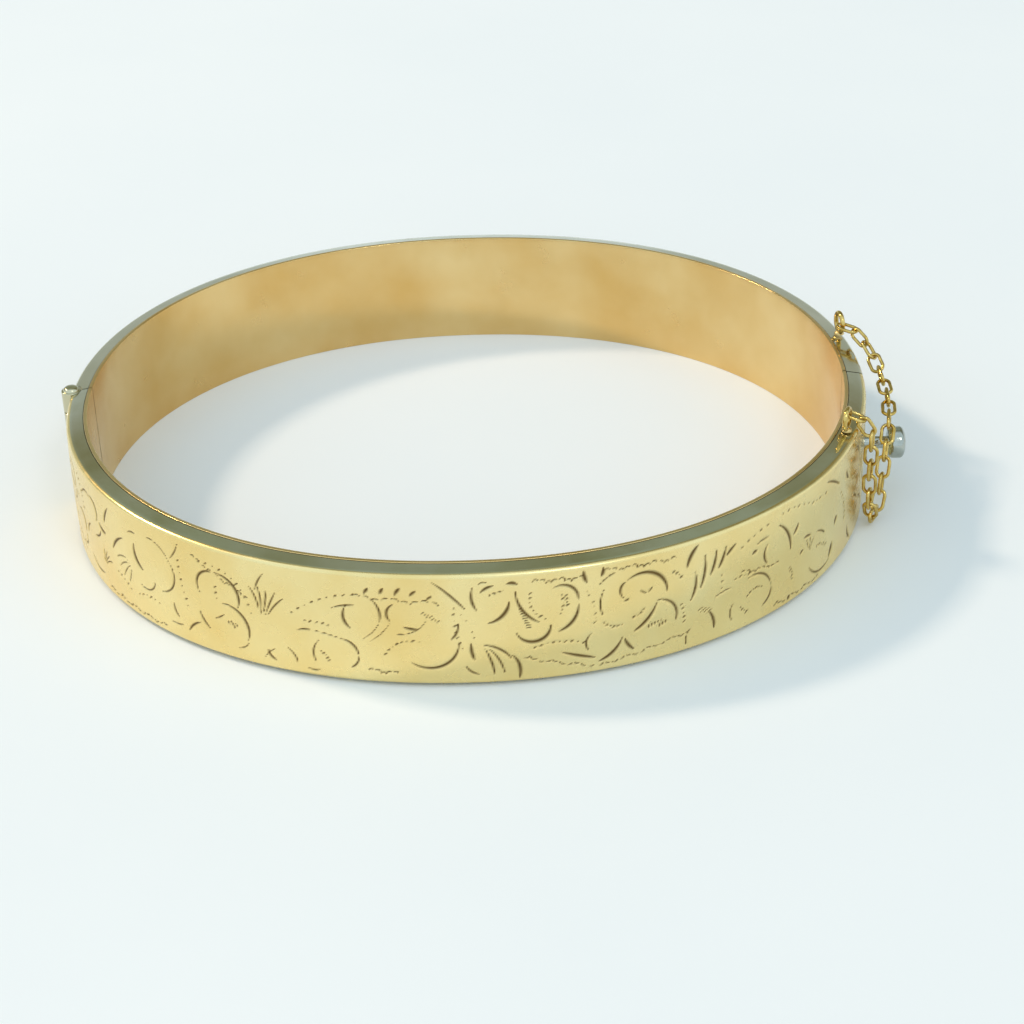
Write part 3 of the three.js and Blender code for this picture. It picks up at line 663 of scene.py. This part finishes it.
# %% Build both linings
EDGE_ROUND = 0.06 * MM
outer_inset, inner_inset, top = BAND_THICKNESS - LINER_WALL, BAND_THICKNESS, BAND_HEIGHT
lining_section = np.vstack([
    straight((outer_inset + EDGE_ROUND, 0), (inner_inset - EDGE_ROUND, 0), 2),
    curve((inner_inset - EDGE_ROUND, 0), (inner_inset, 0), (inner_inset, EDGE_ROUND), 4),
    straight((inner_inset, EDGE_ROUND), (inner_inset, top - EDGE_ROUND), 24),
    curve((inner_inset, top - EDGE_ROUND), (inner_inset, top), (inner_inset - EDGE_ROUND, top), 4),
    straight((inner_inset - EDGE_ROUND, top), (outer_inset + EDGE_ROUND, top), 2),
    curve((outer_inset + EDGE_ROUND, top), (outer_inset, top), (outer_inset, top - EDGE_ROUND), 4),
    straight((outer_inset, top - EDGE_ROUND), (outer_inset, EDGE_ROUND), 8),
    curve((outer_inset, EDGE_ROUND), (outer_inset, 0), (outer_inset + EDGE_ROUND, 0), 4),
])
for side, start in (("back", 0.0), ("front", math.pi)):
    trim = angle_at(JOINT_GAP / 2)
    points = swept(lining_section, start + trim, start + math.pi - trim, 300)
    faces = capped_tube(300, len(lining_section))
    lining = make_piece(side + "_lining", points, faces, side + "_half", lining_gold_painted_reflection)
    cut_away(lining, [barrel_pocket()])
    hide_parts(side + "_inner_liner")
    print(lining.name, len(lining.data.polygons), "faces")

# %% [markdown]
# ## Turned pieces
# The knuckles, the hinge pin's head and the thumb-piece are round: a profile of radius and height is
# carried round an axis. A profile may stop a thousandth of a millimetre short of the axis, where one
# tiny flat cap closes it.

# %% Knuckles, pin head and thumb-piece
ON_AXIS = 0.001 * MM


def turned(profile, turns):
    """Points (r cos t, r sin t, h) for each profile row: a ring of points, row after row."""
    turn = np.linspace(0, 2 * np.pi, turns, endpoint=False)
    radius, height = np.array(profile).T[:, :, None]
    return np.stack([radius * np.cos(turn), radius * np.sin(turn), height + 0 * turn], axis=-1)


KNUCKLE_CHAMFER = 0.1 * MM
PIN_RADIUS = 0.36 * MM
bore = PIN_RADIUS + SEAM
knuckles = sorted(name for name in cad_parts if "knuckle" in name)
for name in knuckles:
    low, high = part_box(name)
    tall, radius = high.z - low.z, (high.y - low.y) / 2
    profile = np.vstack([
        straight((bore, 0), (radius - KNUCKLE_CHAMFER, 0), 2),
        curve((radius - KNUCKLE_CHAMFER, 0), (radius, 0), (radius, KNUCKLE_CHAMFER), 5),
        straight((radius, KNUCKLE_CHAMFER), (radius, tall - KNUCKLE_CHAMFER), 6),
        curve((radius, tall - KNUCKLE_CHAMFER), (radius, tall), (radius - KNUCKLE_CHAMFER, tall), 5),
        straight((radius - KNUCKLE_CHAMFER, tall), (bore, tall), 2),
        straight((bore, tall), (bore, 0), 3),
    ])
    points = turned(profile, 48) + np.array([(low.x + high.x) / 2, (low.y + high.y) / 2, low.z])
    body = name.split("_")[0] + "_half"
    piece = make_piece("turned_" + name, points, grid_faces(len(profile), 48, True).tolist(), body,
                       gold_polished)
    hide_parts(name)
print("knuckles", len(knuckles), "each", round(tall / MM, 2), "mm tall")

# The pin's top end is hammered out into a low dome that covers the bore.
HEAD_RADIUS = 0.66 * MM
HEAD_RISE = 0.34 * MM
head_profile = np.vstack([
    straight((ON_AXIS, 0), (HEAD_RADIUS, 0), 3),
    curve((HEAD_RADIUS, 0), (0.9 * HEAD_RADIUS, HEAD_RISE), (ON_AXIS, HEAD_RISE), 14),
    [(ON_AXIS, HEAD_RISE)],
])
top_low, top_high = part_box("back_hinge_knuckle_5")
head_place = np.array([(top_low.x + top_high.x) / 2, 0.0, top_high.z])
make_piece("hinge_pin_head", turned(head_profile, 40) + head_place, capped_tube(len(head_profile), 40),
           "back_half", gold_polished)

THUMB_HEAD_RADIUS = 1.3 * MM
THUMB_HEAD_DEPTH = 1.4 * MM
low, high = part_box("thumb_piece")
foot, crown = low.x, high.x
neck = crown - THUMB_HEAD_DEPTH
lip = 0.35 * THUMB_HEAD_DEPTH
thumb_profile = np.vstack([
    straight((ON_AXIS, foot), (THUMB_STEM_RADIUS, foot), 2),
    straight((THUMB_STEM_RADIUS, foot), (THUMB_STEM_RADIUS, neck), 5),
    straight((THUMB_STEM_RADIUS, neck), (THUMB_HEAD_RADIUS - lip, neck), 3),
    curve((THUMB_HEAD_RADIUS - lip, neck), (THUMB_HEAD_RADIUS, neck), (THUMB_HEAD_RADIUS, neck + lip), 7),
    straight((THUMB_HEAD_RADIUS, neck + lip), (THUMB_HEAD_RADIUS, crown - lip), 3),
    curve((THUMB_HEAD_RADIUS, crown - lip), (THUMB_HEAD_RADIUS, crown), (ON_AXIS, crown), 14),
    [(ON_AXIS, crown)],
])
thumb_middle = np.array([0, (low.y + high.y) / 2, (low.z + high.z) / 2])
points = turned(thumb_profile, 56)[:, :, [2, 0, 1]] + thumb_middle
thumb = make_piece("turned_thumb_piece", points, capped_tube(len(thumb_profile), 56), "snap_leaf",
                   worn_thumb)
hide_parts("thumb_piece")

# %% [markdown]
# ## The safety chain
# Every link is one oval of round wire, and no two hang at the same angle. Each link's place is read
# from its solid: the direction in which its points spread most is its length, the next is its width,
# and the last is the way through it. A fine wire is then swept round the same oval.

# %% Links and rings
def own_axes(node):
    """Middle, half sizes and three directions of a solid: eigenvectors of its points' spread."""
    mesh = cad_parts[node].data
    points = np.zeros(len(mesh.vertices) * 3)
    mesh.vertices.foreach_get("co", points)
    points = np.unique(points.reshape(-1, 3).round(8), axis=0)
    directions = np.linalg.eigh(np.cov((points - points.mean(0)).T))[1][:, ::-1].T
    if np.linalg.det(directions) < 0:
        directions[2] *= -1
    along = points @ directions.T
    middle = (along.min(0) + along.max(0)) / 2
    return middle @ directions, (along.max(0) - along.min(0)) / 2, directions


def wire_loop(half_straight, bend, wire, around, across):
    """A torus (bend + wire cos v) whose two halves are drawn apart: x grows by +-half_straight."""
    u = (np.arange(around) + 0.5)[:, None] / around * 2 * np.pi
    v = np.arange(across)[None, :] / across * 2 * np.pi
    radius = bend + wire * np.cos(v)
    x = radius * np.cos(u) + np.sign(np.cos(u)) * half_straight
    return np.stack([x, radius * np.sin(u), wire * np.sin(v) + 0 * u], axis=-1)


links = sorted(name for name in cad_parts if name.startswith("chain_link"))
for name in links:
    middle, half, directions = own_axes(name)
    wire = half[2]
    bend = half[1] - wire
    points = wire_loop(half[0] - half[1], bend, wire, 32, 12) @ directions + middle
    faces = grid_faces(32, 12, True).tolist()
    piece = make_piece("wire_" + name, points, faces, name, wire_gold_painted_shade)
    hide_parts(name)
print("links", len(links), "wire", round(2 * wire / MM, 2), "mm, length", round(2 * half[0] / MM, 2), "mm")

RING_WIRE = 0.2 * MM
RING_REACH = 1.0 * MM
BEAD_RADIUS = 2.1 * RING_WIRE
upright = np.array([0, 0, 1.0])
for side in ("back", "front"):
    node = side + "_chain_ring"
    low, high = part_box(node)
    through = own_axes(node)[2][2]
    frame_axes = np.array([np.cross(upright, through), upright, through])
    middle = np.array([(low.x + high.x) / 2, (low.y + high.y) / 2, high.z - RING_REACH])
    points = wire_loop(0, RING_REACH - RING_WIRE, RING_WIRE, 48, 16) @ frame_axes + middle
    ring = make_piece("wire_" + node, points, grid_faces(48, 16, True).tolist(), side + "_half",
                      wire_gold_painted_shade)
    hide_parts(node)
    bead_tall = middle[2] - RING_REACH + 1.5 * RING_WIRE - low.z
    bead_profile = np.vstack([
        straight((ON_AXIS, 0), (BEAD_RADIUS, 0), 2),
        curve((BEAD_RADIUS, 0), (2 * RING_WIRE, 0.9 * bead_tall), (ON_AXIS, bead_tall), 12),
        [(ON_AXIS, bead_tall)],
    ])
    foot_middle = np.array([middle[0], middle[1], low.z])
    make_piece("solder_bead_" + side, turned(bead_profile, 32) + foot_middle,
               capped_tube(len(bead_profile), 32), side + "_half", gold_solder)
print("rings", round(2 * RING_REACH / MM, 2), "mm across")

# %% [markdown]
# ## Parts that keep their solid
# The end plates, the clasp's mouth, the two leaves of the tongue and the hinge pin are flat strips
# and a rod whose solids are already right. They only need their metal.

# %% Metals for the plates, the tongue and the pin
kept = {
    "front_hinge_end_plate": gold_solder, "back_hinge_end_plate": gold_solder,
    "front_clasp_mouth": gold_solder, "back_clasp_end_plate": gold_solder,
    "tongue_base_leaf": gold_spring, "tongue_spring_leaf": gold_spring, "hinge_pin": gold_solder,
}
for name, material in kept.items():
    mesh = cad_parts[name].data
    mesh.materials.clear()
    mesh.materials.append(material)
print("kept", len(kept), "solids")

# %% [markdown]
# ## The table
# The bangle lies on a sheet of smooth white card. Its faint cool tint wanders a little over broad
# patches, and its slight gloss is too weak to mirror the metal.

# %% White card
card, card_tree, card_shader, card_place = new_material("white_card")
card_shader.inputs["Metallic"].default_value = 0.0
card_shader.inputs["Roughness"].default_value = 0.7
fibres = blotches(card_tree, card_place, 60 * MM, 0.0, 1.0)
tint = mixed(card_tree, fibres, linear(0xF1F4F5), linear(0xEDF1F3))
card_tree.links.new(tint, card_shader.inputs["Base Color"])
TABLE_HALF = 3.0
table_mesh = bpy.data.meshes.new("card")
table_mesh.from_pydata(
    [(-TABLE_HALF, -TABLE_HALF, 0), (TABLE_HALF, -TABLE_HALF, 0), (TABLE_HALF, TABLE_HALF, 0),
     (-TABLE_HALF, TABLE_HALF, 0)], [], [(0, 1, 2, 3)])
table_mesh.materials.append(card)
table = bpy.data.objects.new("card", table_mesh)
bpy.context.scene.collection.objects.link(table)
print("card", 2 * TABLE_HALF, "m across")

# %% [markdown]
# ## The camera
# A long lens from well above: the far rim is a little smaller than the near one, and the whole oval
# shows. The camera looks down at 30 degrees, turned a degree and a half to one side, and is held a
# touch off level.

# %% Camera
VIEW_ELEVATION = math.radians(30.4)
VIEW_TURN = math.radians(1.58)
VIEW_ROLL = math.radians(-2.02)
VIEW_DISTANCE = 196.7 * MM
VIEW_LENS = 83.02
view_centre = Vector((oval_middle_x + 3.344 * MM, 0.092 * MM, -2.854 * MM))

sight = Matrix.Rotation(VIEW_TURN, 3, "Z")
backward = sight @ Vector((0, -math.cos(VIEW_ELEVATION), math.sin(VIEW_ELEVATION)))
level = sight @ Vector((1, 0, 0))
upward = backward.cross(level)
across = level * math.cos(VIEW_ROLL) + upward * math.sin(VIEW_ROLL)
upward = backward.cross(across)
camera_data = bpy.data.cameras.new("camera")
camera_data.lens = VIEW_LENS
camera_data.sensor_width = 36
camera_data.clip_start = 10 * MM
camera = bpy.data.objects.new("camera", camera_data)
bpy.context.scene.collection.objects.link(camera)
camera.matrix_world = Matrix.Translation(view_centre + backward * VIEW_DISTANCE) @ Matrix(
    (across, upward, backward)).transposed().to_4x4()
bpy.context.scene.camera = camera
print("camera", [round(v, 4) for v in camera.location], "lens", camera_data.lens)

# %% [markdown]
# ## The light
# Polished metal has no look of its own: it shows the room. The room here is a white tent with a
# grey wall behind the bangle, which the back rims mirror. Above the wall hangs a drab olive and grey
# curtain, which the front rims mirror because they slope towards the viewer. The tent gives most of
# the light and is cool, so shadows turn blue. One warm broad lamp at the upper left gives the soft
# shadow on the right, and a weak white one in front glints in the rolled corners.

# %% Room and lamps
world = bpy.data.worlds.new("room")
bpy.context.scene.world = world
world.use_nodes = True
room = world.node_tree
direction = add(room, "ShaderNodeTexCoord").outputs["Generated"]
parts = add(room, "ShaderNodeSeparateXYZ", {"Vector": direction})
high_up = add(room, "ShaderNodeMapRange", {
    "Value": parts.outputs["Z"], "From Min": 0.34, "From Max": 0.5}, interpolation_type="SMOOTHSTEP")
behind = add(room, "ShaderNodeMapRange", {
    "Value": parts.outputs["Y"], "From Min": 0.05, "From Max": 0.3}, interpolation_type="SMOOTHSTEP")
opening = add(room, "ShaderNodeMath", {
    0: high_up.outputs[0], 1: behind.outputs[0]}, operation="MULTIPLY").outputs[0]
folds = add(room, "ShaderNodeTexNoise", {"Vector": direction, "Scale": 3.2, "Detail": 3.0})
drape = add(room, "ShaderNodeMapRange", {
    "Value": folds.outputs["Fac"], "From Min": 0.42, "From Max": 0.62}).outputs["Result"]
curtain = mixed(room, drape, (0.20, 0.19, 0.10, 1.0), (0.36, 0.44, 0.40, 1.0))
above_table = add(room, "ShaderNodeMapRange", {
    "Value": parts.outputs["Z"], "From Min": 0.05, "From Max": 0.14}, interpolation_type="SMOOTHSTEP")
wall = add(room, "ShaderNodeMath", {
    0: above_table.outputs[0], 1: behind.outputs[0]}, operation="MULTIPLY").outputs[0]
backdrop = mixed(room, wall, (0.78, 0.92, 1.03, 1.0), (0.42, 0.48, 0.48, 1.0))
tent = mixed(room, opening, backdrop, curtain)
room.links.new(tent, room.nodes["Background"].inputs["Color"])
room.nodes["Background"].inputs["Strength"].default_value = 1.12


def lamp(name, place, size, power, colour):
    """A square area lamp that faces the bangle's middle."""
    data = bpy.data.lights.new(name, "AREA")
    data.size, data.energy, data.color = size, power, colour
    item = bpy.data.objects.new(name, data)
    bpy.context.scene.collection.objects.link(item)
    item.location = place
    item.rotation_euler = Vector(place).to_track_quat("Z", "Y").to_euler()


lamp("broad_lamp", (-0.85, 0.35, 0.85), 0.16, 6.5, (1.0, 0.80, 0.60))
lamp("rim_lamp", (0.25, -0.5, 0.6), 0.12, 0.5, (1.0, 1.0, 1.0))
bpy.context.scene.view_settings.view_transform = "Standard"

# %% [markdown]
# ## Finish
# The triangles of all the finer pieces are counted. The finer pieces must stay inside the
# solids' box.

# %% Count triangles and finish
print("triangles", sum(len(p.vertices) - 2 for piece in pieces for p in piece.data.polygons))
